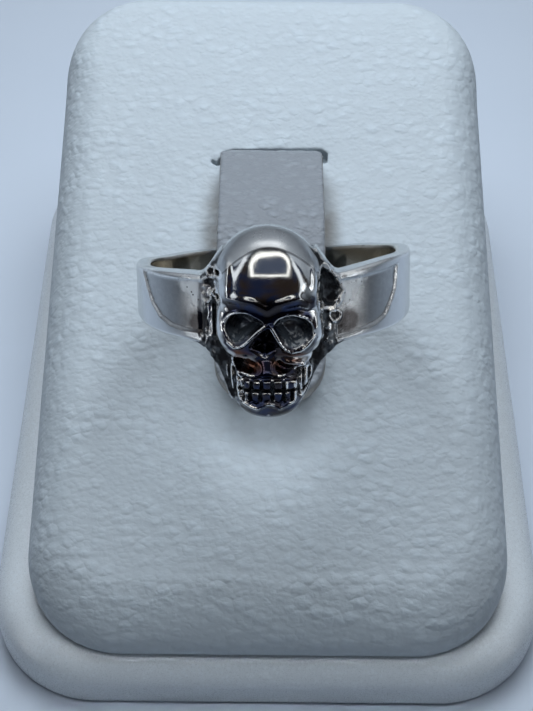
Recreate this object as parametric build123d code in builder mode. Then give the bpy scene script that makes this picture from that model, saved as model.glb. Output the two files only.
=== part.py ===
from build123d import *
import os
from math import cos, radians, sin, sqrt

# Sizes in millimetres. X is across the stand, +Y is its raised back, Z is up,
# and the origin is the middle of the base's footprint on the table.

# Display base: the flat slab with a rounded rim that everything stands on
base_width = 46.2
base_length = 62.0
base_height = 5.2
base_corner_radius = 9.0
base_rim_radius = 2.6
base_foot_radius = 0.6

# Display pad: the sloped cushion on the base
pad_width = 39.1
pad_length = 62.6
pad_front_height = 4.66
pad_slope = 15.6
pad_corner_radius = 7.8
pad_edge_radius = 3.4
pad_front_margin = 1.6

# Ring clip: the bent tab that holds the ring against the pad
tab_width = 9.1
tab_thickness = 1.8
tab_rise = 1.15
tab_tip_radius = 3.4
tab_bend_radius = 1.6
tab_crest_radius = 12.0
tab_tip_droop = 1.7
tab_tip_overhang = 14.4
slot_position = 42.72
slot_depth = 4.0
slot_clearance = 0.25
clip_gap = 0.55

# Ring shank
bore_diameter = 19.3
band_thickness = 1.15
band_height = 4.1
band_back_height = 3.4
shoulder_half_width = 5.3
shoulder_rise = 0.9
shoulder_bulge = 1.1
collar_half_width = 4.1
collar_top = 4.8
collar_foot_half_width = 3.1
collar_bottom = 5.7
ring_offset = 0.2
ring_seat = 30.82
ring_lean = 55.0
ring_roll = 1.5
seat_gap = 0.25

# Skull
skull_width = 7.7
skull_top = 6.7
skull_chin = 6.8
skull_relief = 4.5
skull_offset = -0.2
skull_seat_depth = 0.9
brow_length = 3.7
brow_radius = 0.62
brow_height = 1.9
brow_spacing = 3.5
brow_setback = 0.62
brow_sweep = 0.28
brow_rise = 0.16
cheek_length = 2.6
cheek_radius = 0.55
cheek_height = -1.9
cheek_spacing = 5.2
cheek_setback = 1.25
cheek_sweep = 0.5
cheek_rise = 0.55
socket_depth = 2.0
socket_taper = 14.0
socket_corner_radius = 0.5
nose_depth = 1.3
nose_corner_radius = 0.3
tooth_width = 0.74
tooth_height = 1.1
teeth_in_row = 8
tooth_fill = 0.54
teeth_half_span = 3.1
teeth_setback = 0.72
teeth_curve = 1.75
mouth_height = -4.6
recess_length = 4.4
recess_radius = 0.95
recess_height = 1.8
recess_reach = 0.66
left_recess_share = 0.7

outer_radius = bore_diameter / 2 + band_thickness
bore_radius = bore_diameter / 2
skull_height = skull_top + skull_chin
face_front = outer_radius + skull_relief
face_back = outer_radius - skull_seat_depth
collar_height = 2 * max(skull_top, skull_chin)

# The pad's sloped face, its side view and the ring's own frame
pad_front = -base_length / 2 + pad_front_margin
pad_depth = pad_length * cos(radians(pad_slope))
pad_back_height = pad_front_height + pad_length * sin(radians(pad_slope))
pad_face = Plane(
    origin=(0, pad_front, base_height + pad_front_height),
    x_dir=(1, 0, 0),
    z_dir=(0, -sin(radians(pad_slope)), cos(radians(pad_slope))),
)
pad_side = Plane(origin=pad_face.origin, x_dir=pad_face.y_dir, z_dir=(1, 0, 0))

# The ring leans with its crown towards the front; its back edge rests over the pad
lean = radians(ring_lean)
finger_axis = Vector(0, cos(lean), sin(lean))
ring_back = Vector(0, sin(lean), -cos(lean))
seat_point = pad_face.from_local_coords(Vector(ring_offset, ring_seat, seat_gap))
ring_centre = seat_point - ring_back * outer_radius + finger_axis * (band_back_height / 2)
ring_across = Vector(1, 0, 0) * cos(radians(ring_roll)) + finger_axis * sin(radians(ring_roll))
ring_frame = Plane(origin=ring_centre, x_dir=ring_across, z_dir=ring_across.cross(ring_back))


def on_ring(x=0.0, y=0.0, z=0.0, normal=(0, 0, 1), across=(1, 0, 0)):
    """A workplane in the ring's own frame: X right, Y back, Z along the finger."""
    local = Plane(origin=(x, y, z), x_dir=across, z_dir=normal)
    return Plane(ring_frame.location * local.location)


# Rows from chin to crown: share of the skull's height, of its half width, of the relief
skull_sections = (
    ("chin", 0.00, 0.42, 0.66),
    ("jaw", 0.06, 0.68, 0.84),
    ("lower teeth", 0.14, 0.82, 0.92),
    ("upper teeth", 0.23, 0.86, 0.90),
    ("under cheeks", 0.31, 0.90, 0.86),
    ("cheekbones", 0.41, 0.97, 0.90),
    ("eyes", 0.51, 0.98, 0.95),
    ("brow", 0.64, 1.00, 1.00),
    ("temples", 0.76, 0.99, 0.95),
    ("forehead", 0.88, 0.86, 0.74),
    ("crown", 0.96, 0.56, 0.42),
    ("crown top", 1.00, 0.20, 0.08),
)

# Corners of the two eye sockets and the nose: shares of the half width and of the height
left_socket = ((-0.90, 0.50), (-0.70, 0.575), (-0.36, 0.585), (-0.15, 0.54), (-0.42, 0.385), (-0.78, 0.40))
right_socket = ((0.03, 0.55), (0.22, 0.585), (0.72, 0.585), (0.94, 0.50), (0.64, 0.35), (0.26, 0.39))
nose_opening = ((-0.08, 0.53), (0.22, 0.37), (-0.05, 0.325), (-0.36, 0.40))


def up(share):
    """Height on the skull in the ring's frame, from 0 at the chin to 1 at the crown."""
    return share * skull_height - skull_chin


def cut_opening(corners, rounding, depth):
    """Cut one tapered opening into the face from its front."""
    with BuildSketch(on_ring(y=-face_front, normal=(0, -1, 0))) as opening:
        with BuildLine():
            Polyline([(x * skull_width / 2 + skull_offset, up(z)) for x, z in corners], close=True)
        make_face()
        fillet(opening.vertices(), radius=rounding)
    extrude(opening.sketch, amount=-depth, taper=socket_taper, mode=Mode.SUBTRACT)


def add_spheroid(x, y, z, along, half_length, radius, mode=Mode.ADD):
    """Add or cut an egg shape whose long axis runs along the given direction."""
    spine = on_ring(x, y, z, normal=Vector(along).cross(Vector(0, 1, 0)), across=along)
    with BuildSketch(spine) as half_oval:
        Ellipse(half_length, radius)
        Rectangle(2 * half_length, radius, align=(Align.CENTER, Align.MIN), mode=Mode.INTERSECT)
    revolve(half_oval.sketch, axis=Axis(spine.origin, spine.x_dir), mode=mode)


# Display base
with BuildPart() as display_base:
    with BuildSketch():
        RectangleRounded(base_width, base_length, base_corner_radius)
    extrude(amount=base_height)
    fillet(display_base.faces().sort_by(Axis.Z)[-1].edges(), radius=base_rim_radius)
    fillet(display_base.faces().sort_by(Axis.Z)[0].edges(), radius=base_foot_radius)

# Display pad, with the slot that the clip comes out of
with BuildPart() as display_pad:
    with BuildSketch(Plane((0, pad_front + pad_depth / 2, base_height))):
        RectangleRounded(pad_width, pad_depth, pad_corner_radius)
    extrude(amount=pad_back_height + pad_edge_radius)
    split(bisect_by=pad_face, keep=Keep.BOTTOM)
    top_face = display_pad.faces().sort_by(Axis(pad_face.origin, pad_face.z_dir))[-1]
    fillet(top_face.edges(), radius=pad_edge_radius)
    with BuildSketch(Plane(pad_face.location * Location((0, slot_position, 0)))):
        Rectangle(tab_width + 2 * slot_clearance, tab_thickness + 2 * slot_clearance)
    extrude(amount=-slot_depth, mode=Mode.SUBTRACT)

# Ring clip: it stands in the slot, bends over the back of the band and runs down through the ring
# The flat clip bears on the curved rim at its two sides
rim_reach = sqrt(bore_radius**2 - (tab_width / 2) ** 2)
band_rim = ring_centre + ring_back * rim_reach + finger_axis * (band_back_height / 2)
band_rim_on_pad = pad_face.to_local_coords(band_rim)
crest_height = band_rim_on_pad.Z + clip_gap + tab_thickness / 2
tip_position = band_rim_on_pad.Y - tab_tip_overhang
with BuildPart() as ring_clip:
    with BuildSketch(pad_side):
        with BuildLine():
            FilletPolyline(
                (slot_position, -slot_depth),
                (slot_position, tab_rise),
                (band_rim_on_pad.Y + tab_thickness / 2, crest_height),
                (tip_position, crest_height - tab_tip_droop),
                radius=[tab_bend_radius, tab_crest_radius],
            )
        trace(line_width=tab_thickness)
    extrude(amount=tab_width / 2, both=True)
    tip_face = ring_clip.faces().sort_by(Axis(pad_face.origin, pad_face.y_dir))[0]
    fillet([tip_face.edges().sort_by(Axis.X)[0], tip_face.edges().sort_by(Axis.X)[-1]], radius=tab_tip_radius)

# Shoulders: the part of the shank that swells and flares behind the skull
with BuildPart() as shoulders:
    with BuildSketch(on_ring(z=-collar_height / 2)):
        Circle(outer_radius)
        with Locations((0, -outer_radius)):
            Ellipse(shoulder_half_width, shoulder_bulge)
        make_hull()
    extrude(amount=collar_height)
    with BuildSketch(on_ring(normal=(0, -1, 0))):
        with BuildLine():
            shoulder_top = band_height / 2 + shoulder_rise
            top_edge = Line((outer_radius, band_height / 2), (shoulder_half_width, shoulder_top))
            top_flare = TangentArc(top_edge @ 1, (collar_half_width, collar_top), tangent=top_edge % 1)
            Line(top_flare @ 1, (0, collar_top))
            low_edge = Line((outer_radius, -band_height / 2), (shoulder_half_width, -band_height / 2))
            collar_foot = (collar_foot_half_width, -collar_bottom)
            low_flare = TangentArc(low_edge @ 1, collar_foot, tangent=low_edge % 1)
            Line(low_flare @ 1, (0, -collar_bottom))
            Line((0, -collar_bottom), (0, collar_top))
            Line(low_edge @ 0, top_edge @ 0)
        make_face()
        mirror(about=Plane.YZ)
    extrude(amount=face_front, mode=Mode.INTERSECT)

# Ring: shank and skull are one casting
with BuildPart() as skull_ring:
    # The band, lower at the back than at the sides
    with BuildSketch(on_ring(z=-band_height / 2)):
        Circle(outer_radius)
    extrude(amount=band_height)
    with BuildSketch(on_ring(normal=(1, 0, 0), across=(0, 1, 0))):
        with BuildLine():
            Polyline(
                (-outer_radius, -band_height / 2),
                (0, -band_height / 2),
                (outer_radius, -band_back_height / 2),
                (outer_radius, band_back_height / 2),
                (0, band_height / 2),
                (-outer_radius, band_height / 2),
                close=True,
            )
        make_face()
    extrude(amount=outer_radius, both=True, mode=Mode.INTERSECT)
    add(shoulders.part)

    # Cranium and face
    for name, share, half_width, relief in skull_sections:
        front = outer_radius + relief * skull_relief
        with BuildSketch(on_ring(skull_offset, -(front + face_back) / 2, up(share))):
            Ellipse(half_width * skull_width / 2, (front - face_back) / 2)
    loft()

    # Brow ridges, meeting in a shallow V over the nose
    for side in (-1, 1):
        add_spheroid(side * brow_spacing / 2 + skull_offset, brow_setback - face_front, brow_height,
                     (side, brow_sweep, brow_rise), brow_length / 2, brow_radius)

    # Eye sockets and nose
    cut_opening(left_socket, socket_corner_radius, socket_depth)
    cut_opening(right_socket, socket_corner_radius, socket_depth)
    cut_opening(nose_opening, nose_corner_radius, nose_depth)

    # Cheekbones
    for side in (-1, 1):
        add_spheroid(side * cheek_spacing / 2 + skull_offset, cheek_setback - face_front, cheek_height,
                     (side, cheek_sweep, cheek_rise), cheek_length / 2, cheek_radius)

    # Two rows of teeth on the curve of the jaw
    for row in (1, -1):
        for tooth in range(teeth_in_row):
            x = (tooth - (teeth_in_row - 1) / 2) * tooth_width
            y = teeth_setback + teeth_curve * (x / teeth_half_span) ** 2 - face_front
            add_spheroid(x + skull_offset, y, mouth_height + row * tooth_height / 2, (0, 0, 1),
                         tooth_fill * tooth_height, tooth_fill * tooth_width)

    # Recesses between the temples and the shoulders, the right one deeper
    for side, size in ((-1, left_recess_share), (1, 1.0)):
        add_spheroid(side * (skull_width / 2 + recess_radius * size) + skull_offset,
                     -outer_radius - recess_reach, recess_height,
                     (0, 0, 1), recess_length / 2 * size, recess_radius * size, Mode.SUBTRACT)

    # The open finger hole
    with BuildSketch(on_ring(z=-collar_height)):
        Circle(bore_radius)
    extrude(amount=2 * collar_height, mode=Mode.SUBTRACT)

display_base.part.label = "display_base"
display_pad.part.label = "display_pad"
ring_clip.part.label = "ring_clip"
skull_ring.part.label = "skull_ring"

os.makedirs("parts", exist_ok=True)
export_step(display_base.part, "parts/display_base.step")
export_step(display_pad.part, "parts/display_pad.step")
export_step(ring_clip.part, "parts/ring_clip.step")
export_step(skull_ring.part, "parts/skull_ring.step")
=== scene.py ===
"""Skull ring on its display stand: sculpted pieces, materials, floor, light and camera."""
from math import cos, radians, sin, sqrt, tan

import bpy
import numpy as np
from mathutils import Matrix, Vector


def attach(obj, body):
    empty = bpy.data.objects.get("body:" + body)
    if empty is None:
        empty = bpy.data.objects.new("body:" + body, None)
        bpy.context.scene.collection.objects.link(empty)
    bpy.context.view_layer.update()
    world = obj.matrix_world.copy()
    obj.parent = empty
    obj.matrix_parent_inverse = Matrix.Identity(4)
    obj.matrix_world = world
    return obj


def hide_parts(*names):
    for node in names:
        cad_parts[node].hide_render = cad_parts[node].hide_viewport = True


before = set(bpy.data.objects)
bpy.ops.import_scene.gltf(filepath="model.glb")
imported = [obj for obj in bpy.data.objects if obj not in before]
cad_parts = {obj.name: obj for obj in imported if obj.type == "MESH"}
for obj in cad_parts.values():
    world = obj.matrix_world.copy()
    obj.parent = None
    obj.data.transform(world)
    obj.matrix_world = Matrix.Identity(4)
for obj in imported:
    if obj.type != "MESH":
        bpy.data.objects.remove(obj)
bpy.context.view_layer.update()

MM = 0.001

# The stand, in mm, as in the CAD source
BASE_SIZE = (46.2, 62.0, 5.2)
BASE_CORNER = 9.0
BASE_RIM = 2.6
BASE_FOOT = 0.6
PAD_WIDTH = 39.1
PAD_LENGTH = 62.6
PAD_CORNER = 7.8
PAD_EDGE = 3.4
PAD_FRONT_HEIGHT = 4.66
PAD_SLOPE = radians(15.6)
PAD_FRONT = -29.4
SLOT_AT = 42.72
SLOT_DEPTH = 4.0
SLOT_HALF_THICKNESS = 1.15
TAB_WIDTH = 9.1
TAB_THICKNESS = 1.8
TAB_RISE = 1.15
TAB_TIP_RADIUS = 3.4
TAB_BEND_RADIUS = 1.6
TAB_CREST_RADIUS = 12.0
TAB_TIP_DROOP = 1.7
TAB_TIP_OVERHANG = 14.4
TAB_GAP = 0.55

# The ring, in mm: X across, Y to its back, Z along the finger
BORE_RADIUS = 9.65
OUTER_RADIUS = 10.8
BAND_HALF_HEIGHT = 2.05
BAND_BACK_HALF_HEIGHT = 1.7
RING_OFFSET = 0.2
RING_SEAT = 30.82
SEAT_GAP = 0.25
RING_LEAN = radians(55.0)
RING_ROLL = radians(1.5)

# The pad's sloped face: along it, and out of it
PAD_ORIGIN = np.array((0.0, PAD_FRONT, BASE_SIZE[2] + PAD_FRONT_HEIGHT))
PAD_ALONG = np.array((0.0, cos(PAD_SLOPE), sin(PAD_SLOPE)))
PAD_OUT = np.array((0.0, -sin(PAD_SLOPE), cos(PAD_SLOPE)))

# The ring leans with its crown to the front, and its back edge lies just over the pad
ACROSS = np.array((1.0, 0.0, 0.0))
FINGER_AXIS = np.array((0.0, cos(RING_LEAN), sin(RING_LEAN)))
RING_Y = np.array((0.0, sin(RING_LEAN), -cos(RING_LEAN)))
RING_X = cos(RING_ROLL) * ACROSS + sin(RING_ROLL) * FINGER_AXIS
RING_Z = np.cross(RING_X, RING_Y)
SEAT_POINT = PAD_ORIGIN + RING_OFFSET * ACROSS + RING_SEAT * PAD_ALONG + SEAT_GAP * PAD_OUT
RING_CENTRE = SEAT_POINT - OUTER_RADIUS * RING_Y + BAND_BACK_HALF_HEIGHT * FINGER_AXIS

# Mesh steps in mm
FINE_STEP = 0.105
COARSE_STEP = 0.23
STAND_STEP = 0.45
TAB_STEP = 0.18
SLOT_STEP = 0.16

# The stand's meshing grid: how far it reaches past the base
GRID_MARGIN = 1.0
GRID_X = BASE_SIZE[0] / 2 + GRID_MARGIN
GRID_Y = BASE_SIZE[1] / 2 + GRID_MARGIN

# After meshing, each vertex moves onto the surface: how often, and how far at most
SETTLING_MOVES = 3
LONGEST_MOVE = 0.05


# Signed distances: negative inside the solid, in mm
def smooth_min(a, b, blend):
    share = np.clip(0.5 + 0.5 * (b - a) / blend, 0, 1)
    return b + (a - b) * share - blend * share * (1 - share)


def smooth_max(a, b, blend):
    return -smooth_min(-a, -b, blend)


def ease(start, end, value):
    """From 0 at start to 1 at end, with level ends."""
    t = np.clip((value - start) / (end - start), 0, 1)
    return t * t * (3 - 2 * t)


def bell(distance, width):
    return np.exp(-(distance / width) ** 2)


def egg(p, centre, radii, power=2.0):
    """An egg shape; a power over 2 flattens the front and sides of its level sections."""
    radii = np.asarray(radii, np.float32)
    q = np.abs(p - np.asarray(centre, np.float32)) / radii + 1e-5
    level = (q[:, 0] ** power + q[:, 1] ** power) ** (1 / power)
    near = np.hypot(level, q[:, 2])
    q[:, :2] = level[:, None] ** (2 - power) * q[:, :2] ** (power - 1)
    slope = q / radii
    return near * (near - 1) / np.sqrt((slope * slope).sum(1))


def rounded_edge(side, cap, radius):
    """A side distance and an end distance joined by a round edge."""
    corner = np.hypot(np.maximum(side + radius, 0), np.maximum(cap + radius, 0))
    return corner + np.minimum(np.maximum(side, cap) + radius, 0) - radius


def rounded_rectangle(x, y, half_x, half_y, radius):
    ax = np.abs(x) - half_x + radius
    ay = np.abs(y) - half_y + radius
    return np.hypot(np.maximum(ax, 0), np.maximum(ay, 0)) + np.minimum(np.maximum(ax, ay), 0) - radius


def to_line(a, b, points):
    """Distance in a plane to a chain of points."""
    best = np.full(a.shape, 1e9, np.float32)
    for (a0, b0), (a1, b1) in zip(points[:-1], points[1:]):
        da, db = a1 - a0, b1 - b0
        t = np.clip(((a - a0) * da + (b - b0) * db) / (da * da + db * db), 0, 1)
        best = np.minimum(best, np.hypot(a - a0 - t * da, b - b0 - t * db))
    return best


def into_loop(a, b, loop):
    """Depth inside a closed outline in a plane, negative outside."""
    inside = np.zeros(a.shape, bool)
    for (a0, b0), (a1, b1) in zip(loop, loop[1:] + loop[:1]):
        if b0 != b1:
            inside ^= ((b0 > b) != (b1 > b)) & (a < a0 + (a1 - a0) * (b - b0) / (b1 - b0))
    away = to_line(a, b, loop + loop[:1])
    return np.where(inside, away, -away)


def rounded_loop(corners):
    """A closed outline with each corner cut once."""
    points = [np.array(corner) for corner in corners]
    cut = []
    for first, second in zip(points, points[1:] + points[:1]):
        cut += [tuple(first * 0.75 + second * 0.25), tuple(first * 0.25 + second * 0.75)]
    return cut


def ripple(p, size, seed, waves=9):
    """Smooth seeded waviness, mostly between -1 and 1, with features of about the given size."""
    random = np.random.default_rng(seed)
    total = np.zeros(len(p), np.float32)
    for _ in range(waves):
        direction = random.normal(size=3)
        wavelength = size * random.uniform(0.7, 1.5)
        direction *= 2 * np.pi / (wavelength * np.linalg.norm(direction))
        total += np.sin(p @ direction.astype(np.float32) + random.uniform(0, 2 * np.pi))
    return total / sqrt(waves) / 1.4


# Meshing: naive surface nets on a grid with uneven steps, then a few steps onto the surface
def axis_lines(stretches):
    return np.concatenate([np.arange(a, b, step) for a, b, step in stretches]).astype(np.float32)


def pairs_along(axis, ndim=3):
    low, high = [slice(None)] * ndim, [slice(None)] * ndim
    low[axis], high[axis] = slice(None, -1), slice(1, None)
    return tuple(low), tuple(high)


def surface_nets(lines, value):
    """Vertices and quads of the surface where the value changes sign."""
    inside = value < 0
    count = np.zeros([n - 1 for n in value.shape], np.int16)
    total = np.zeros([3] + [n - 1 for n in value.shape], np.float32)
    for axis in range(3):
        low, high = pairs_along(axis)
        cross = inside[low] != inside[high]
        t = np.where(cross, value[low] / np.where(cross, value[low] - value[high], 1), 0)
        shape = [1, 1, 1]
        shape[axis] = -1
        along = lines[axis][:-1].reshape(shape) + t * np.diff(lines[axis]).reshape(shape)
        others = [k for k in range(3) if k != axis]
        for steps in ((0, 0), (0, 1), (1, 0), (1, 1)):
            window = [slice(None)] * 3
            for k, step in zip(others, steps):
                window[k] = slice(step, value.shape[k] - 1 + step)
            edge = cross[tuple(window)]
            count += edge
            total[axis] += np.where(edge, along[tuple(window)], 0)
            for k, step in zip(others, steps):
                shape = [1, 1, 1]
                shape[k] = -1
                total[k] += np.where(edge, lines[k][step:value.shape[k] - 1 + step].reshape(shape), 0)
    used = count > 0
    index = np.full(count.shape, -1, np.int64)
    index[used] = np.arange(used.sum())
    vertices = np.stack([total[k][used] / count[used] for k in range(3)], 1)
    quads = []
    for axis in range(3):
        low, high = [slice(1, -1)] * 3, [slice(1, -1)] * 3
        low[axis], high[axis] = slice(None, -1), slice(1, None)
        starts_inside = inside[tuple(low)]
        cross = starts_inside != inside[tuple(high)]
        start = np.argwhere(cross) + 1
        start[:, axis] -= 1
        first, second = np.eye(3, dtype=int)[(axis + 1) % 3], np.eye(3, dtype=int)[(axis + 2) % 3]
        corners = (start - first - second, start - second, start, start - first)
        quad = np.stack([index[tuple(corner.T)] for corner in corners], 1)
        flip = ~starts_inside[cross]
        quad[flip] = quad[flip][:, ::-1]
        quads.append(quad)
    return vertices, np.concatenate(quads)


def gradient(field, p, reach=0.01):
    slope = np.empty_like(p)
    for k in range(3):
        step = np.zeros(3, np.float32)
        step[k] = reach
        slope[:, k] = (field(p + step) - field(p - step)) / (2 * reach)
    return slope


def mesh_field(field, stretches):
    """Vertices and quads of a signed distance, meshed over the given stretches of each axis."""
    lines = [axis_lines(stretch) for stretch in stretches]
    value = np.empty([len(line) for line in lines], np.float32)
    yy, zz = np.meshgrid(lines[1], lines[2], indexing="ij")
    for i, x in enumerate(lines[0]):
        p = np.stack([np.full(yy.size, x, np.float32), yy.ravel(), zz.ravel()], 1)
        value[i] = field(p).reshape(yy.shape)
    vertices, quads = surface_nets(lines, value)
    vertices = vertices.astype(np.float32)
    for _ in range(SETTLING_MOVES):
        slope = gradient(field, vertices)
        step = field(vertices) / ((slope * slope).sum(1) + 1e-6)
        vertices = vertices - np.clip(step, -LONGEST_MOVE, LONGEST_MOVE)[:, None] * slope
    return vertices, quads


def make_piece(name, vertices, quads, attributes, node):
    """A smooth mesh object in metres that stands for a CAD node."""
    mesh = bpy.data.meshes.new(name)
    mesh.vertices.add(len(vertices))
    mesh.vertices.foreach_set("co", (vertices * MM).astype(np.float32).ravel())
    mesh.loops.add(len(quads) * 4)
    mesh.loops.foreach_set("vertex_index", quads.astype(np.int32).ravel())
    mesh.polygons.add(len(quads))
    mesh.polygons.foreach_set("loop_start", np.arange(0, len(quads) * 4, 4, dtype=np.int32))
    mesh.polygons.foreach_set("use_smooth", np.ones(len(quads), bool))
    mesh.update(calc_edges=True)
    mesh.validate()
    for key, values in attributes.items():
        layer = mesh.attributes.new(key, "FLOAT", "POINT")
        layer.data.foreach_set("value", np.asarray(values, np.float32))
    piece = bpy.data.objects.new(name, mesh)
    bpy.context.scene.collection.objects.link(piece)
    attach(piece, "root")
    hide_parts(node)
    return piece


# The skull's drawn lines, in mm on the face seen from the front: X right, Z towards the crown
LEFT_SOCKET = rounded_loop((
    (-3.6, 0.0), (-3.2, 0.7), (-2.6, 0.97), (-1.95, 1.0), (-1.35, 0.72), (-0.75, 0.38), (-0.6, 0.14),
    (-0.95, -0.12), (-1.45, -0.6), (-1.85, -1.02), (-2.2, -1.36), (-2.84, -1.57),
    (-3.26, -1.17), (-3.53, -0.57)))
RIGHT_SOCKET = rounded_loop((
    (-0.18, 0.02), (0.16, 0.5), (0.76, 0.74), (1.25, 0.81), (1.85, 0.62), (2.35, 0.42), (2.8, -0.05),
    (2.9, -0.7), (2.7, -1.1), (2.35, -1.48), (1.86, -1.84), (1.22, -1.96), (0.66, -1.6), (0.38, -1.06),
    (0.1, -0.5)))
NOSE = rounded_loop((
    (-0.42, 0.0), (-0.2, -0.25), (0.1, -0.85), (0.4, -1.5), (0.3, -1.9), (-0.2, -2.25), (-0.7, -2.45),
    (-1.2, -2.2), (-1.7, -1.95), (-2.0, -1.6), (-1.55, -0.97), (-1.05, -0.45)))
BROW = ((-3.15, 1.98), (-2.35, 1.92), (-1.45, 1.76), (-0.95, 1.5), (-0.48, 1.26),
        (0.15, 1.62), (1.1, 1.85), (1.8, 1.95), (2.5, 1.5))
BROW_FOLD = ((0.9, 1.3), (1.8, 1.4), (2.4, 1.15))
LEFT_RIM = ((-3.25, 4.4), (-3.35, 2.6), (-3.58, 1.79), (-3.82, 0.93), (-3.93, -0.09), (-3.76, -1.1),
            (-3.36, -1.98), (-2.85, -2.36), (-2.1, -2.36))
RIGHT_RIM = ((2.9, 4.0), (2.92, 2.39), (2.93, 1.23), (3.08, 0.18), (3.3, -0.98), (3.22, -1.9),
             (2.6, -2.72), (1.85, -2.96), (0.75, -2.8))
LEFT_HOLLOW = ((-2.6, -2.85), (-2.1, -2.95), (-1.5, -3.1))
RIGHT_HOLLOW = ((0.35, -3.0), (0.95, -3.2), (1.75, -3.35))
RIGHT_RECESS = rounded_loop((
    (3.35, 3.65), (3.95, 3.4), (4.5, 2.6), (4.95, 1.8), (4.8, 1.2), (4.56, 0.85), (4.2, 0.4), (3.4, 0.7),
    (3.15, 1.9), (3.25, 2.9)))
LOBE = rounded_loop(((4.15, 0.25), (4.02, -0.1), (4.4, -0.58), (4.78, -0.35), (4.72, 0.1)))

# Openings in the face: outline, depth, and how far in from the rim the floor is reached, low and high
OPENINGS = ((LEFT_SOCKET, 1.25, 1.15, 0.45), (RIGHT_SOCKET, 1.3, 1.25, 0.45), (NOSE, 0.95, 1.3, 0.4))

# Raised lines on the face: points, height, half width
RIDGES = (
    (((-0.66, 0.05), (-1.25, -0.42), (-2.08, -1.24), (-2.45, -1.52), (-2.9, -1.6), (-3.3, -1.2)), 0.12, 0.12),
    (((-0.3, 0.08), (-0.02, -0.4), (0.48, -1.35), (0.78, -1.75), (1.22, -2.02), (1.86, -1.92), (2.42, -1.5),
      (2.82, -0.9)), 0.12, 0.12),
    (((1.85, -0.45), (2.2, -1.05), (1.95, -1.45), (1.45, -1.72)), 0.12, 0.1),
    (((-3.5, 0.31), (-3.2, 0.74), (-2.64, 1.0), (-1.94, 1.03)), 0.05, 0.09),
    (((-0.1, 0.15), (0.2, 0.55), (0.76, 0.78), (1.25, 0.85), (1.81, 0.66), (2.35, 0.5)), 0.05, 0.09),
    (BROW, 0.24, 0.36), (BROW_FOLD, 0.07, 0.1),
    (LEFT_RIM, 0.16, 0.3), (RIGHT_RIM, 0.16, 0.3),
    (((-2.6, -3.32), (-2.0, -3.46), (-1.6, -3.6)), 0.12, 0.1),
    (((0.3, -3.62), (1.0, -3.42), (1.55, -3.2), (2.1, -3.05)), 0.12, 0.1),
    (((-3.0, -2.75), (-2.72, -3.3), (-2.42, -3.7), (-2.3, -4.5)), 0.14, 0.12),
    (((-2.3, -5.62), (-1.8, -5.88), (-1.33, -6.06), (-0.95, -5.86), (-0.6, -5.72)), 0.3, 0.2),
    (((-0.25, -5.66), (0.33, -6.02), (0.85, -5.74), (1.3, -5.6)), 0.3, 0.2),
    (((0.8, -3.72), (1.46, -3.72), (1.46, -4.65), (0.8, -4.6), (0.8, -3.72)), 0.16, 0.1))

# Cut lines: points, depth, half width
CUTS = (
    (((-3.3, -3.0), (-3.26, -3.9), (-3.2, -5.2)), 0.3, 0.12),
    (((-2.92, -3.3), (-2.85, -4.45), (-2.82, -5.5)), 0.32, 0.12),
    (((-2.5, -3.9), (-2.46, -5.2)), 0.3, 0.1),
    (((1.72, -3.6), (1.68, -5.2)), 0.34, 0.12), (((2.02, -3.55), (1.98, -4.7)), 0.3, 0.11),
    (((1.95, -5.05), (2.35, -4.65), (2.75, -4.4)), 0.34, 0.13), (((2.45, -3.5), (2.4, -4.2)), 0.26, 0.1),
    (((-0.55, -5.9), (-0.5, -6.5)), 0.12, 0.25))

# Casting holes left of the temple: across, up, radius, depth
HOLES = ((-4.61, 2.27, 0.46, 0.55), (-4.9, 1.72, 0.3, 0.5), (-4.88, 1.28, 0.26, 0.45),
         (-4.05, 1.76, 0.28, 0.5), (-4.46, 3.26, 0.26, 0.5), (-3.92, 3.5, 0.22, 0.35))

# Lines beside the left temple: a polished bar, with a cut slot and a cut edge on its two sides
LIGHT_BAR = ((-4.62, 0.6), (-4.6, -1.4))
SIDE_SLOT = ((-4.28, 0.8), (-4.3, -1.4))
SIDE_EDGE = ((-5.2, 2.2), (-5.26, 0.3), (-5.22, -1.4))

# Painted brown reflection under the sockets, and the line across the top of the forehead: its height and its
# bend
PAINTED_BROWN_LINES = (((-2.6, -2.1), (-1.3, -2.9)), ((0.3, -2.7), (1.8, -2.5)))
HAIRLINE_TOP = 5.42
HAIRLINE_BEND = 0.165

# Sunk panels of the two shoulders, and the frosted patches on them, partly a painted highlight: distance from
# the middle, up
LEFT_PANEL = ((4.0, -1.3), (5.6, -1.36), (6.5, -1.34), (7.6, -1.22), (8.45, -0.78), (9.15, 0.1), (9.5, 1.0),
              (9.75, 1.75), (9.9, 2.3), (4.0, 2.6))
RIGHT_PANEL = ((4.0, -1.75), (5.65, -1.69), (6.45, -1.47), (7.45, -1.3), (8.25, -0.93), (8.76, -0.03),
               (9.1, 0.8), (9.2, 1.5), (9.3, 2.7), (4.0, 2.4))
LEFT_PATCH = ((4.95, 2.8), (4.95, 1.3), (5.3, 0.4), (6.1, 1.2), (6.9, 2.05), (6.2, 2.5))
RIGHT_PATCH = ((4.8, 2.5), (5.8, 2.4), (6.8, 2.25), (5.9, 1.3), (4.9, 0.2))

# Gaps between the teeth of each row, across, and the heights of the mouth's lines
UPPER_GAPS = (-2.27, -1.68, -0.95, -0.18, 0.64)
LOWER_GAPS = (-2.27, -1.78, -1.05, -0.2, 0.62, 1.2)
TEETH_TOP = -3.86
BITE = -4.68
TEETH_BOTTOM = -5.6

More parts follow.
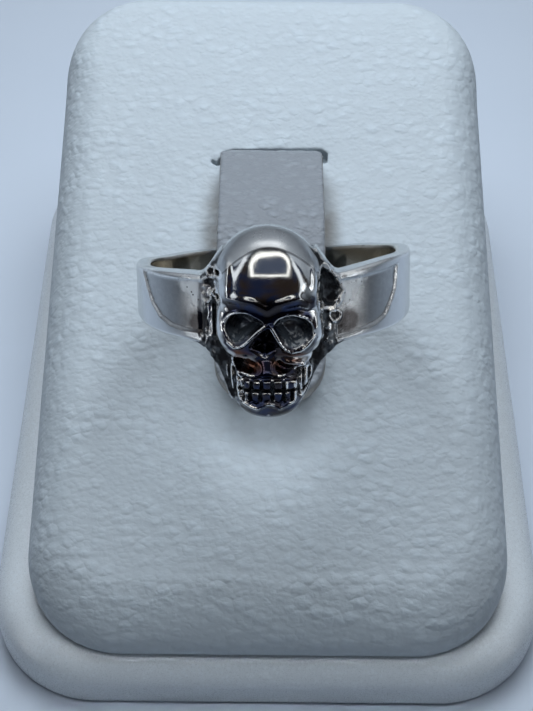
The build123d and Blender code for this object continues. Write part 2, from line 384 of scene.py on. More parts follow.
# The lower edge of the flared shoulders: across from the middle, down
LEFT_FLARE = ((0.0, 6.5), (2.4, 6.4), (2.9, 6.05), (3.15, 5.5), (3.4, 4.6), (3.75, 3.75), (4.25, 2.95),
              (4.75, 2.35), (5.3, 2.05), (6.5, 1.9), (12.0, 1.9))
RIGHT_FLARE = ((0.0, 6.5), (2.2, 6.2), (2.6, 5.6), (2.9, 4.9), (3.2, 4.1), (3.6, 3.4), (4.15, 2.8),
               (4.75, 2.3), (5.3, 2.05), (6.5, 1.9), (12.0, 1.9))

# The middle of the flared shoulders, of the face and of the space between the temples
FLARE_MIDDLE = -0.3
FACE_MIDDLE = -0.35
TEMPLE_MIDDLE = -0.4

# The shank: how far its shoulders swell and rise, how far the flares reach, and the panels' depth
SHOULDER_SWELL = 0.95
SHOULDER_RISE = 0.8
COLLAR_RISE = 2.3
RIGHT_LIFT = 0.85
BACK_DROP = 0.5
FLARE_FOOT = 1.9
COLLAR_TOP = 4.85
COLLAR_BOTTOM = 6.2
PANEL_DEPTH = 0.16

# The skull's plain volumes: centre, radii, squareness of the level sections, softness of the join
SKULL_VOLUMES = {
    "cranium": ((-0.42, -10.9, 2.72), (3.78, 4.3, 3.82), 2.7, None),
    "face": ((-0.34, -11.3, -0.35), (3.86, 3.65, 3.15), 3.0, 0.8),
    "jaw": ((-0.38, -11.4, -3.9), (3.1, 3.4, 2.6), 2.5, 0.6),
    "chin": ((-0.45, -12.3, -5.5), (2.4, 2.1, 1.7), 2.3, 0.5),
}

# Depths of the carved face and sides
HOLLOW_DEPTH = 0.5
HOLLOW_WIDTH = 0.36
TOOTH_GAP_DEPTH = 0.36
TOOTH_GAP_WIDTH = 0.1
TOOTH_STAND = 0.2
BITE_DEPTH = 0.34
RECESS_DEPTH = 1.3
LOBE_DEPTH = 0.45
SLOT_CUT = 0.4
EDGE_CUT = 0.35


def in_panel(x, z):
    """Depth inside the sunk panel of either shoulder."""
    return np.where(x < 0, into_loop(-x, z, LEFT_PANEL), into_loop(x, z, RIGHT_PANEL))


def above_hairline(x, z):
    """Height over the bent line across the top of the forehead."""
    return z - HAIRLINE_TOP + HAIRLINE_BEND * (x - FLARE_MIDDLE) ** 2


def shank(p):
    """The band and its swollen shoulders, which flare behind the skull."""
    x, y, z = p.T
    rho = np.hypot(x, y)
    degrees = np.degrees(np.arctan2(np.abs(x), -y))
    swell = SHOULDER_SWELL * ease(80, 24, degrees)
    outside = rho - OUTER_RADIUS - swell
    sunk = (rho > 10.2) & (y < 0) & (np.abs(x) > 4.5) & (np.abs(z) < 3.2)
    outside[sunk] += PANEL_DEPTH * ease(-0.04, 0.16, in_panel(x[sunk], z[sunk])) * ease(0, -2, y[sunk])
    radial = np.maximum(outside, BORE_RADIUS - rho)
    taper = (BAND_HALF_HEIGHT - BAND_BACK_HALF_HEIGHT) * ease(90, 180, degrees)
    shoulder = ease(90, 30, degrees)
    across = np.abs(x - FLARE_MIDDLE)
    ahead = y < 0
    lift = RIGHT_LIFT * ease(3.5, 10.5, x) - BACK_DROP * ease(0, 6, y)
    collar = COLLAR_RISE * ease(5.1, 2.9, across) * ahead
    top = BAND_HALF_HEIGHT - taper + SHOULDER_RISE * shoulder + lift + collar
    drops = [np.interp(across, *zip(*flare)) for flare in (LEFT_FLARE, RIGHT_FLARE)]
    low = BAND_HALF_HEIGHT - taper + (np.where(x < FLARE_MIDDLE, *drops) - FLARE_FOOT) * ahead
    axial = np.maximum(z - np.minimum(top, COLLAR_TOP), -z - np.minimum(low, COLLAR_BOTTOM))
    return smooth_max(radial, axial, 0.3)


def head(p):
    """The skull's plain volumes, joined softly: cranium, face, jaw and chin."""
    joined = None
    for centre, radii, squareness, softness in SKULL_VOLUMES.values():
        volume = egg(p, centre, radii, squareness)
        joined = volume if joined is None else smooth_min(joined, volume, softness)
    return joined


def face_relief(p):
    """How deep the face is carved under its plain volumes; negative where it stands out."""
    x, y, z = p.T
    carve = np.zeros(x.shape, np.float32)
    for outline, depth, low_reach, high_reach in OPENINGS:
        heights = [up for across, up in outline]
        rise = np.clip((z - min(heights)) / (max(heights) - min(heights)), 0, 1)
        carve += depth * ease(-0.03, low_reach + (high_reach - low_reach) * rise, into_loop(x, z, outline))
    for line, height, width in RIDGES:
        carve -= height * bell(to_line(x, z, line), width)
    for line, depth, width in CUTS:
        carve += depth * bell(to_line(x, z, line), width)
    for hollow in (LEFT_HOLLOW, RIGHT_HOLLOW):
        carve += HOLLOW_DEPTH * bell(to_line(x, z, hollow), HOLLOW_WIDTH)
    return carve + teeth_relief(x, z)


def teeth_relief(x, z):
    """Two rows of teeth: gaps between them, and lines over, between and under the rows."""
    mouth = ease(-2.75, -2.5, x) * ease(1.75, 1.5, x)
    carve = np.zeros(x.shape, np.float32)
    for gaps, top, bottom in ((UPPER_GAPS, TEETH_TOP, BITE), (LOWER_GAPS, BITE, TEETH_BOTTOM)):
        row = ease(top, top - 0.16, z) * ease(bottom, bottom + 0.16, z)
        between = np.max([bell(x - gap, TOOTH_GAP_WIDTH) for gap in gaps], axis=0)
        carve += row * (TOOTH_GAP_DEPTH * between - TOOTH_STAND)
        carve += row * 0.16 * ease(top - 0.1, bottom, z)
    return mouth * (carve + BITE_DEPTH * bell(z - BITE, 0.1) + 0.16 * bell(z - TEETH_TOP - 0.1, 0.12))


def side_relief(p):
    """The ragged zone between the temples and the shoulders, with its holes, recess and lobe."""
    x, y, z = p.T
    pit = into_loop(x, z, RIGHT_RECESS) + 0.1 * ripple(p, 0.7, 21)
    carve = RECESS_DEPTH * ease(0, 0.45, pit) - 0.12 * bell(pit + 0.12, 0.12)
    lobe = into_loop(x, z, LOBE) + 0.05 * ripple(p, 0.5, 24)
    carve += LOBE_DEPTH * ease(0, 0.16, lobe) - 0.1 * bell(lobe + 0.1, 0.1)
    for across, up, radius, depth in HOLES:
        away = np.hypot(x - across, z - up)
        carve += depth * ease(1.1 * radius, 0.55 * radius, away) - 0.1 * bell(away - 1.25 * radius, 0.09)
    across = np.abs(x - TEMPLE_MIDDLE)
    zone = ease(3.5, 4.0, across) * ease(5.0, 4.75, across) * ease(4.2, 3.6, z)
    streaks = ripple(p * np.array((1, 0.5, 0.3), np.float32), 0.42, 22)
    carve += zone * (0.16 * np.abs(streaks) + 0.05 * ripple(p, 0.5, 23) - 0.06)
    slot = bell(to_line(x, z, SIDE_SLOT), 0.11)
    edge = bell(to_line(x, z, SIDE_EDGE), 0.16)
    return carve + SLOT_CUT * slot + EDGE_CUT * edge


def casting_waver(p):
    """The casting's small unevenness: faint on the face, stronger at its sides and under the teeth."""
    x, y, z = p.T
    waver = 0.006 * ripple(p, 1.6, 3)
    waver += 0.022 * ripple(p, 0.75, 4) * ease(2.5, 3.1, np.abs(x - FACE_MIDDLE))
    waver += 0.045 * ripple(p, 0.5, 6) * ease(-5.3, -5.7, z) * ease(-6.4, -6.0, z)
    return waver


def ring(p):
    """The whole ring: the shank, and near its front the skull and the carved sides."""
    d = shank(p)
    near = (p[:, 1] < -8.0) & (np.abs(p[:, 0]) < 6.8)
    q = p[near]
    x, y, z = q.T
    skull = head(q) + face_relief(q) * ease(-10.6, -11.8, y) + casting_waver(q)
    sides = side_relief(q) * ease(-10.0, -10.6, y) * ease(-13.4, -12.6, y)
    local = smooth_min(d[near], skull, 0.16) + sides
    d[near] = smooth_max(local, BORE_RADIUS - np.hypot(x, y), 0.1)
    return d


def shelter(field, p, normals):
    """How far each point is closed in by the surface around it, from 0 open to 1 deep."""
    closed = np.zeros(len(p), np.float32)
    for reach, share in ((0.18, 0.35), (0.45, 0.35), (1.0, 0.3)):
        closed += share * np.clip(1 - field(p + reach * normals) / reach, 0, 1)
    return closed


def spot(x, z, across, up, half_width, half_height):
    """A soft round spot on the face, 1 in its middle."""
    return np.exp(-((x - across) / half_width) ** 2 - ((z - up) / half_height) ** 2)


def polished_rims(x, y, z):
    """Bright edges round the holes, the recess and the lobe, and the bar left of the temple."""
    rims = [bell(np.hypot(x - across, z - up) - 1.15 * radius, 0.08) for across, up, radius, depth in HOLES]
    rims += [0.8 * bell(into_loop(x, z, outline), 0.1) for outline in (RIGHT_RECESS, LOBE)]
    rims.append(bell(to_line(x, z, LIGHT_BAR), 0.12))
    return np.max(rims, axis=0) * (y < -9)


def shoulder_marks(p):
    """Frosted patches, partly a painted highlight, and painted shade in the sunk panels and along the
    hairline.
    """
    x, y, z = p.T
    patch = np.where(x < 0, into_loop(-x, z, LEFT_PATCH), into_loop(x, z, RIGHT_PATCH))
    # The frosted patches: a frosted finish, and a painted highlight where they are whiter
    frost_and_highlight = ease(-0.35, 0.45, patch + 0.2 * ripple(p, 0.8, 31)) * (y < -6)
    panel = in_panel(x, z)
    # Painted shade: darker in the sunk panels, along their edges and in a corner spot, and a painted dark
    # line along the hairline
    corner = spot(np.abs(x), z, 5.4, -0.7, 0.9, 0.9)
    painted_shade = 0.42 * ease(-0.05, 0.3, panel) + corner + 0.5 * bell(panel, 0.08)
    painted_shade = painted_shade * (y < -3) * (y > -11.6)
    hairline = bell(above_hairline(x, z), 0.07) * (y < -11.2)
    return {"frost_and_highlight": frost_and_highlight, "painted_shade": np.clip(painted_shade + 0.8 * hairline, 0, 1)}


def face_marks(p):
    """The face plate with its film, the painted brown reflection under the sockets, the satin crown with a
    painted glow in its middle, the socket bowls, the cast sides and the band's inside.
    """
    x, y, z = p.T
    # The face plate: a dark film, with painted reflections over it
    plate = ease(3.6, 3.1, np.abs(x - FACE_MIDDLE)) * ease(2.4, 1.7, z) * ease(-12.2, -12.8, y)
    # Painted brown reflection along lines under the sockets
    brown_bands = [bell(to_line(x, z, line), 0.45) for line in PAINTED_BROWN_LINES]
    satin_and_glow = ease(-0.05, 0.2, above_hairline(x, z)) * ease(-11.0, -11.4, y)
    # Less satin in the crown's middle: a painted glow, lighter there
    satin_and_glow *= 1 - 0.55 * bell(x + 0.2, 1.5)
    sockets = np.maximum(into_loop(x, z, LEFT_SOCKET), into_loop(x, z, RIGHT_SOCKET))
    bowl = ease(0.05, 0.5, sockets) * (y < -11)
    return {"plate": plate, "painted_brown": sum(brown_bands), "satin_and_glow": satin_and_glow, "bowl": bowl,
            "low_bowl": bowl * ease(-0.4, -1.2, z), "cast": ease(-12.4, -11.6, y),
            "inside": ease(10.0, 9.75, np.hypot(x, y))}


def soot_and_shade(p):
    """Soot where the skull meets the shank, in the recess and in the temples' zone, and painted shade under
    the flare.
    """
    x, y, z = p.T
    join = bell(np.hypot(head(p), shank(p)), 0.7) * (y < -9.5)
    # Painted shade under the flare, behind the skull
    flare = ease(-1.4, -2.2, z) * ease(6.2, 5.2, np.abs(x - FLARE_MIDDLE)) * ease(-12.6, -12.0, y) * (y < -8)
    pit = ease(0.0, 0.3, into_loop(x, z, RIGHT_RECESS)) * (y < -8)
    under_nose = spot(x, z, -0.45, -3.0, 0.5, 0.45)
    across = np.abs(x - TEMPLE_MIDDLE)
    zone = ease(3.15, 3.6, across) * ease(5.1, 4.8, across) * ease(4.2, 3.6, z) * (y < -9)
    return np.maximum(join, flare) + 1.6 * pit + 0.6 * under_nose + 0.8 * zone


def ring_marks(p, normals):
    """Where each finish of the silver and each painted shade, highlight and reflection lies, from 0 to about
    1 at each point.
    """
    rims = polished_rims(*p.T)
    worn = np.clip(1 + ring(p - 0.22 * normals) / 0.22, 0, 1)
    return {"shelter": shelter(ring, p, normals) * (1 - 0.7 * rims), "worn": np.maximum(worn, rims),
            "soot_and_shade": soot_and_shade(p) * (1 - rims), **shoulder_marks(p), **face_marks(p)}


def make_ring():
    stretches = (((-11.3, -6.0, COARSE_STEP), (-6.0, 6.0, FINE_STEP), (6.0, 11.4, COARSE_STEP)),
                 ((-16.2, -9.2, FINE_STEP), (-9.2, 11.3, COARSE_STEP)),
                 ((-7.4, 7.2, FINE_STEP),))
    vertices, quads = mesh_field(ring, stretches)
    normals = gradient(ring, vertices, 0.03)
    normals /= np.linalg.norm(normals, axis=1)[:, None] + 1e-9
    x, y, z = vertices.T
    placed = RING_CENTRE + x[:, None] * RING_X + y[:, None] * RING_Y + z[:, None] * RING_Z
    marks = ring_marks(vertices, normals)
    return make_piece("skull_ring_silver", placed, quads, marks, "skull_ring")


# The stand
def on_face(p):
    """Across, along and out of the pad's sloped face."""
    q = p - PAD_ORIGIN.astype(np.float32)
    return q[:, 0], q @ PAD_ALONG.astype(np.float32), q @ PAD_OUT.astype(np.float32)


PAD_HALF_DEPTH = PAD_LENGTH * cos(PAD_SLOPE) / 2
PAD_TOP = 28.5

# The pad's cover: how far its walls bulge, its face sags and wavers, and how round its edges are
PAD_BULGE = 0.25
SLOT_SAG = 0.25
EDGE_SAG = 0.12
FACE_WAVER = 0.05
UPPER_EDGE = PAD_EDGE + 0.4
UPPER_EDGE_LOSS = 1.5
LOWER_EDGE = 0.5
NOTCH_HALF_WIDTH = 0.2
NOTCH_DEPTH = 1.4

# The slot's open edge, round the tab: across, along the pad
SLOT_LINE = ((-5.3, 43.0), (-4.95, 42.8), (-4.6, 43.2), (-4.2, 43.85), (-3.4, 44.1), (3.6, 44.25),
             (4.6, 44.2), (4.95, 43.9), (4.9, 43.2))

# The finer part of the pad's mesh, round the slot: low and high on each axis
SLOT_BOX = ((-6, 6), (10.5, 14.5), (15, 22))


def pad_field(p):
    """The sloped pad: soft edges, a slightly crowned face and the slot that the tab comes out of."""
    x, along, out = on_face(p)
    from_middle = p[:, 1] - PAD_FRONT - PAD_HALF_DEPTH
    side = rounded_rectangle(x, from_middle, PAD_WIDTH / 2, PAD_HALF_DEPTH, PAD_CORNER)
    wall_height = (p[:, 2] - BASE_SIZE[2]) / (p[:, 2] - BASE_SIZE[2] - out)
    side = side - PAD_BULGE * (1 - (2 * np.clip(wall_height, 0, 1) - 1) ** 2)
    slot_side = np.abs(along - SLOT_AT)
    ends = np.hypot(np.maximum(np.abs(x) - TAB_WIDTH / 2, 0), slot_side)
    sag = SLOT_SAG * bell(ends, 1.3) + EDGE_SAG * ease(4, 0, -side) + FACE_WAVER * ripple(p, 9, 5)
    d = rounded_edge(side, out + sag, UPPER_EDGE - UPPER_EDGE_LOSS * ease(50, 60, along))
    d = rounded_edge(d, BASE_SIZE[2] - p[:, 2], LOWER_EDGE)
    slot = np.maximum(np.abs(x) - TAB_WIDTH / 2 - 0.05, slot_side - SLOT_HALF_THICKNESS)
    slot = np.maximum(slot, -out - SLOT_DEPTH)
    notch = np.maximum(to_line(x, along, SLOT_LINE) - NOTCH_HALF_WIDTH, -out - NOTCH_DEPTH)
    return smooth_max(d, -np.minimum(slot, notch), 0.12)


def base_field(p):
    """The smooth slab under the pad, with a round rim and a small foot edge."""
    x, y, z = p.T
    side = rounded_rectangle(x, y, BASE_SIZE[0] / 2, BASE_SIZE[1] / 2, BASE_CORNER)
    side = side + 0.03 * ripple(p, 14, 8)
    upper = rounded_edge(side, z - BASE_SIZE[2], BASE_RIM)
    lower = rounded_edge(side, -z, BASE_FOOT)
    return np.where(z > BASE_SIZE[2] / 2, upper, lower)


def filleted(points, radii, steps=14):
    """A chain of points whose inner corners are rounded by arcs."""
    chain = [np.array(points[0])]
    for before, corner, after, radius in zip(points, points[1:], points[2:], radii):
        corner = np.array(corner)
        back = (before - corner) / np.linalg.norm(before - corner)
        on = (after - corner) / np.linalg.norm(after - corner)
        half = np.arccos(np.clip(back @ on, -1, 1)) / 2
        centre = corner + (back + on) / np.linalg.norm(back + on) * radius / sin(half)
        start = corner + back * radius / tan(half) - centre
        end = corner + on * radius / tan(half) - centre
        sweep = np.pi - 2 * half
        for t in np.linspace(0, 1, steps):
            chain.append(centre + (sin((1 - t) * sweep) * start + sin(t * sweep) * end) / sin(sweep))
    chain.append(np.array(points[-1]))
    return [tuple(point) for point in chain]


rim_reach = sqrt(BORE_RADIUS**2 - (TAB_WIDTH / 2) ** 2)
band_rim = RING_CENTRE + RING_Y * rim_reach + FINGER_AXIS * BAND_BACK_HALF_HEIGHT
rim_along = float((band_rim - PAD_ORIGIN) @ PAD_ALONG)
crest = float((band_rim - PAD_ORIGIN) @ PAD_OUT) + TAB_GAP + TAB_THICKNESS / 2
TAB_TIP = rim_along - TAB_TIP_OVERHANG
TAB_PATH = filleted(
    [(SLOT_AT, -SLOT_DEPTH), (SLOT_AT, TAB_RISE), (rim_along + TAB_THICKNESS / 2, crest),
     (TAB_TIP, crest - TAB_TIP_DROOP)],
    (TAB_BEND_RADIUS, TAB_CREST_RADIUS))

# Half the length of the strip's outline, and how far the strip narrows at its foot, left and right
TAB_HALF_LENGTH = 30
TAB_NARROWING = (0.75, 0.3)


def tab_outline(x, along):
    """Distance to the strip's outline on the pad's face, round at its tip."""
    from_middle = along - TAB_TIP - TAB_HALF_LENGTH
    return rounded_rectangle(x, from_middle, TAB_WIDTH / 2, TAB_HALF_LENGTH, TAB_TIP_RADIUS)


def tab_field(p):
    """The bent strip: covered card with a rounded tip."""
    x, along, out = on_face(p)
    layer = to_line(along, out, TAB_PATH)
    narrowed = np.where(x < 0, *TAB_NARROWING) * ease(41.4, 43.6, along)
    side = np.where(out < TAB_THICKNESS, np.abs(x) - TAB_WIDTH / 2 + narrowed, tab_outline(x, along))
    creases = 0.02 * ripple(p * np.array((1, 2.2, 1), np.float32) + p[:, :1] * 0.9, 2.2, 11)
    d = rounded_edge(side, layer - TAB_THICKNESS / 2 + 0.03 + creases, 0.3)
    return smooth_max(d, -out - SLOT_DEPTH, 0.1)


def make_base():
    stretches = (((-GRID_X, GRID_X, STAND_STEP),), ((-GRID_Y, GRID_Y, STAND_STEP),),
                 ((-GRID_MARGIN, BASE_SIZE[2] + GRID_MARGIN, 0.5 * STAND_STEP),))
    vertices, quads = mesh_field(base_field, stretches)
    return make_piece("base_cover", vertices, quads, {}, "display_base")


def make_pad():
    """The pad's cover, finer round the slot, with painted shadow on both sides of the tab."""
    lows = (-GRID_X, -GRID_Y, BASE_SIZE[2] - GRID_MARGIN)
    highs = (GRID_X, GRID_Y, PAD_TOP)
    stretches = [((low, start, STAND_STEP), (start, end, SLOT_STEP), (end, high, STAND_STEP))
                 for low, high, (start, end) in zip(lows, highs, SLOT_BOX)]
    vertices, quads = mesh_field(pad_field, stretches)
    x, along, out = on_face(vertices)
    # Painted shadow on the pad on both sides of the tab
    beside = ease(TAB_WIDTH / 2 + 2.3, TAB_WIDTH / 2 + 0.2, np.abs(x))
    painted_tab_shadow = beside * ease(43.5, 36, along) * ease(28, 33, along)
    return make_piece("pad_cover", vertices, quads, {"painted_tab_shadow": painted_tab_shadow}, "display_pad")


def make_tab():
    """The tab's cover; the card's raw edge shows along its sides."""
    low = PAD_ORIGIN + (TAB_TIP - 1) * PAD_ALONG - (SLOT_DEPTH + 1) * PAD_OUT
    high = PAD_ORIGIN + (SLOT_AT + 2) * PAD_ALONG + (crest + 2) * PAD_OUT
    stretches = (((-TAB_WIDTH / 2 - 0.6, TAB_WIDTH / 2 + 0.6, TAB_STEP),),
                 ((low[1] - 2, high[1] + 3, TAB_STEP),), ((low[2] - 1, high[2] + 1, TAB_STEP),))
    vertices, quads = mesh_field(tab_field, stretches)
    x, along, out = on_face(vertices)
    layer = to_line(along, out, TAB_PATH)
    raw = ease(-0.22, -0.08, tab_outline(x, along)) * ease(0.8, 0.55, layer)
    return make_piece("tab_cover", vertices, quads, {"raw_edge": raw}, "ring_clip")


# Materials
class Nodes:
    """A short way to add and join shader nodes."""

    def __init__(self, tree):
        self.tree = tree

    def add(self, kind, inputs=(), **settings):
        node = self.tree.nodes.new(kind)
        for key, value in settings.items():
            setattr(node, key, value)
        for key, value in dict(inputs).items():
            self.put(node.inputs[key], value)
        return node

    def put(self, socket, value):
        if isinstance(value, bpy.types.NodeSocket):
            self.tree.links.new(value, socket)
        elif value is not None:
            socket.default_value = value

    def plus(self, a, b, clamp=False):
        return self.math("ADD", a, b, clamp=clamp)

    def minus(self, a, b):
        return self.math("SUBTRACT", a, b)

    def times(self, a, b):
        return self.math("MULTIPLY", a, b)

    def over(self, a, b):
        return self.math("DIVIDE", a, b)

    def size_of(self, a):
        return self.math("ABSOLUTE", a)

    def cells(self, place, scale, randomness):
        """Distance to the nearest of scattered points."""
        node = self.add("ShaderNodeTexVoronoi", {"Vector": place, "Scale": scale, "Randomness": randomness})
        return node.outputs["Distance"]

    def math(self, operation, a, b=None, c=None, clamp=False):
        node = self.add("ShaderNodeMath", operation=operation, use_clamp=clamp)
        for socket, value in zip(node.inputs, (a, b, c)):
            self.put(socket, value)
        return node.outputs[0]

    def vector(self, operation, a, b):
        node = self.add("ShaderNodeVectorMath", operation=operation)
        self.put(node.inputs[0], a)
        self.put(node.inputs[1], b)
        return node.outputs["Vector"]

    def remap(self, value, low, high, new_low=0.0, new_high=1.0):
        node = self.add("ShaderNodeMapRange", {"Value": value, "From Min": low, "From Max": high,
                                               "To Min": new_low, "To Max": new_high},
                        interpolation_type="SMOOTHSTEP")
        return node.outputs["Result"]

    def mix(self, factor, first, second):
        node = self.add("ShaderNodeMix", data_type="RGBA")
        self.put(node.inputs[0], factor)
        self.put(node.inputs[6], first)
        self.put(node.inputs[7], second)
        return node.outputs[2]

    def noise(self, place, scale, detail=2.0, roughness=0.5):
        return self.add("ShaderNodeTexNoise", {"Vector": place, "Scale": scale, "Detail": detail,
                                               "Roughness": roughness}).outputs["Fac"]

    def millimetres(self, stretch=(1, 1, 1), turn=(0, 0, 0)):
        """The object's own coordinates in mm, turned and stretched."""
        place = self.add("ShaderNodeTexCoord").outputs["Object"]
        node = self.add("ShaderNodeMapping", {"Vector": place})
        node.inputs["Rotation"].default_value = turn
        node.inputs["Scale"].default_value = [s / MM for s in stretch]
        return node.outputs["Vector"]

    def attribute(self, name):
        return self.add("ShaderNodeAttribute", attribute_name=name).outputs["Fac"]

    def bump(self, height, strength, distance, normal=None):
        return self.add("ShaderNodeBump", {"Height": height, "Strength": strength, "Distance": distance * MM,
                                           "Normal": normal}).outputs["Normal"]


def new_material(name):
    material = bpy.data.materials.new(name)
    material.use_nodes = True
    nodes = Nodes(material.node_tree)
    return material, nodes, material.node_tree.nodes["Principled BSDF"]


# The silver's colours, linear; a pair is mottled from its first to its second
POLISHED = ((0.70, 0.72, 0.73, 1), (0.60, 0.62, 0.64, 1))
SATIN = (0.44, 0.46, 0.48, 1)
# Painted shade in the sunk panels and along the hairline
PAINTED_SHADE = (0.07, 0.065, 0.065, 1)
# The frost's white: frosted silver, partly a painted highlight
FROST_AND_HIGHLIGHT = (0.92, 0.95, 0.96, 1)
# Painted reflection of the pad and the tab inside the band, in vertical bands
INSIDE_REFLECTION = ((0.20, 0.19, 0.16, 1), (0.62, 0.57, 0.47, 1))
# The face's dark film, with a painted blue reflection
FILM_AND_BLUE_REFLECTION = ((0.035, 0.045, 0.09, 1), (0.05, 0.045, 0.05, 1))
# Painted brown reflection under the sockets
PAINTED_BROWN_REFLECTION = (0.16, 0.07, 0.04, 1)
WORN_EDGE = (0.90, 0.90, 0.89, 1)
SOOT = ((0.02, 0.021, 0.025, 1), (0.15, 0.17, 0.19, 1))
# Painted blue-grey sheen in the socket bowls
PAINTED_SOCKET_SHEEN = ((0.10, 0.12, 0.15, 1), (0.30, 0.33, 0.36, 1))
# Painted glints low in the socket bowls
PAINTED_GLINT = (0.9, 0.9, 0.9, 1)

RING_MARKS = ("shelter", "worn", "soot_and_shade", "frost_and_highlight", "painted_shade", "plate", "painted_brown", "satin_and_glow", "bowl", "low_bowl",
              "cast", "inside")


def silver_tarnish(n, marks, worn, blotch):
    """Soot in what is closed in or grimy, and painted shade under the flare; less on worn edges and in the
    sockets' bowls.
    """
    # The soot marks include painted shade under the flare
    closed = n.plus(marks["shelter"], n.times(marks["soot_and_shade"], 0.45))
    closed = n.minus(closed, n.times(marks["bowl"], 0.22))
    closed = n.plus(closed, n.times(n.minus(blotch, 0.5), 0.5))
    return n.remap(n.minus(closed, n.times(worn, 0.3)), 0.34, 0.62)


def silver_skin(n, place, marks, worn, blotch):
    """The clean metal's colour: polished and satin parts, painted shade in the panels, frosted parts with a
    painted highlight, a painted reflection inside the band, and the face's dark film with painted blue and
    brown reflections.
    """
    skin = n.mix(n.noise(place, 0.6, 3.0), *POLISHED)
    satin_and_glow = n.times(marks["satin_and_glow"], n.remap(n.noise(place, 0.5, 3.0), 0.35, 0.65, 0.6, 1.0))
    skin = n.mix(satin_and_glow, skin, SATIN)
    # Painted shade in the sunk panels and along the hairline
    painted_shade = n.plus(marks["painted_shade"], n.times(n.minus(blotch, 0.5), 0.3), clamp=True)
    skin = n.mix(painted_shade, skin, PAINTED_SHADE)
    # Frosted patches, whiter: partly a painted highlight
    skin = n.mix(marks["frost_and_highlight"], skin, FROST_AND_HIGHLIGHT)
    # Inside the band: a painted reflection of the pad and the tab, in vertical bands
    reflected_bands = n.noise(n.millimetres((0.5, 0.5, 0.08)), 1.0, 1.0)
    skin = n.mix(marks["inside"], skin, n.mix(n.remap(reflected_bands, 0.42, 0.5), *INSIDE_REFLECTION))
    # The face's dark film, with painted blue and brown reflections mixed in
    film_and_reflection = n.mix(n.remap(n.noise(place, 0.8, 2.0), 0.4, 0.6), *FILM_AND_BLUE_REFLECTION)
    film_and_reflection = n.mix(marks["painted_brown"], film_and_reflection, PAINTED_BROWN_REFLECTION)
    film_and_reflection_mask = n.times(marks["plate"], n.minus(1.0, worn))
    return n.mix(film_and_reflection_mask, n.mix(worn, skin, WORN_EDGE), film_and_reflection)


def silver_height(n, place, marks, pit):
    """The fine relief: cast grain, scratches, specks on the face and pits in the frosted patches."""
    frost_and_highlight, cast = marks["frost_and_highlight"], marks["cast"]
    coarse = n.noise(place, 3.4, 3.0, 0.6)
    grain = n.noise(place, 9.0, 3.0, 0.6)
    scratches = n.noise(n.millimetres((9.0, 1.4, 2.2), (0.3, 0.5, 0.9)), 1.0, 3.0, 0.7)
    tooth = n.plus(n.plus(frost_and_highlight, 0.1), n.times(cast, 0.35))
    tooth = n.plus(tooth, n.times(marks["bowl"], 0.5))
    height = n.plus(n.times(grain, tooth), n.times(coarse, n.times(n.plus(cast, frost_and_highlight), 0.6)))
    height = n.plus(height, n.times(scratches, 0.12))
    specks = n.times(n.noise(place, 4.5, 2.0), marks["plate"])
    height = n.plus(height, n.times(specks, 0.22))
    return n.minus(height, n.times(pit, 1.5))


def silver_material():
    """Polished silver with soot, painted shade, a dark film with painted reflections, frost with a painted
    highlight, a painted sheen and glints in the sockets, and wear where the ring's marks say.
    """
    material, n, shader = new_material("oxidised_silver")
    place = n.millimetres()
    marks = {name: n.attribute(name) for name in RING_MARKS}
    frost_and_highlight = marks["frost_and_highlight"]
    worn = n.remap(marks["worn"], 0.12, 0.4)
    blotch = n.noise(place, 2.6, 4.0, 0.6)
    tarnish = silver_tarnish(n, marks, worn, blotch)
    pit = n.times(n.remap(n.cells(place, 2.6, 1.0), 0.22, 0.1), frost_and_highlight)

    soot = n.mix(n.remap(n.noise(place, 1.7, 3.0), 0.45, 0.7), *SOOT)
    coloured = n.mix(n.math("MAXIMUM", tarnish, pit), silver_skin(n, place, marks, worn, blotch), soot)
    # Painted blue-grey sheen in the socket bowls
    coloured = n.mix(marks["bowl"], coloured, n.mix(blotch, *PAINTED_SOCKET_SHEEN))
    # Painted glints low in the socket bowls
    glint_spots = n.times(n.remap(n.noise(place, 2.6, 2.0), 0.5, 0.58), marks["low_bowl"])
    n.put(shader.inputs["Base Color"], n.mix(glint_spots, coloured, PAINTED_GLINT))

    dull = n.plus(n.times(frost_and_highlight, 0.2), n.times(tarnish, 0.6))
    # The socket bowls are duller, showing their painted sheen
    dull = n.plus(dull, n.times(marks["bowl"], 0.6), clamp=True)
    n.put(shader.inputs["Metallic"], n.minus(1.0, dull))

    rough = n.plus(n.remap(n.noise(place, 1.4, 4.0, 0.65), 0.35, 0.7, 0.09, 0.16), n.times(tarnish, 0.2))
    matt = n.plus(n.plus(n.times(frost_and_highlight, 0.22), n.times(marks["satin_and_glow"], 0.25)), n.times(marks["cast"], 0.1))
    n.put(shader.inputs["Roughness"], n.plus(rough, matt, clamp=True))

    waves = n.bump(n.noise(place, 0.5, 1.0), 1.0, 0.02)
    n.put(shader.inputs["Normal"], n.bump(silver_height(n, place, marks, pit), 0.5, 0.04, waves))
    return material


# The painted shadow on the leatherette beside the tab, and the card that shows at the tab's edge, linear
PAINTED_TAB_SHADOW = (0.25, 0.23, 0.21, 1)
RAW_CARD = ((0.36, 0.33, 0.30, 1), (0.46, 0.42, 0.38, 1))


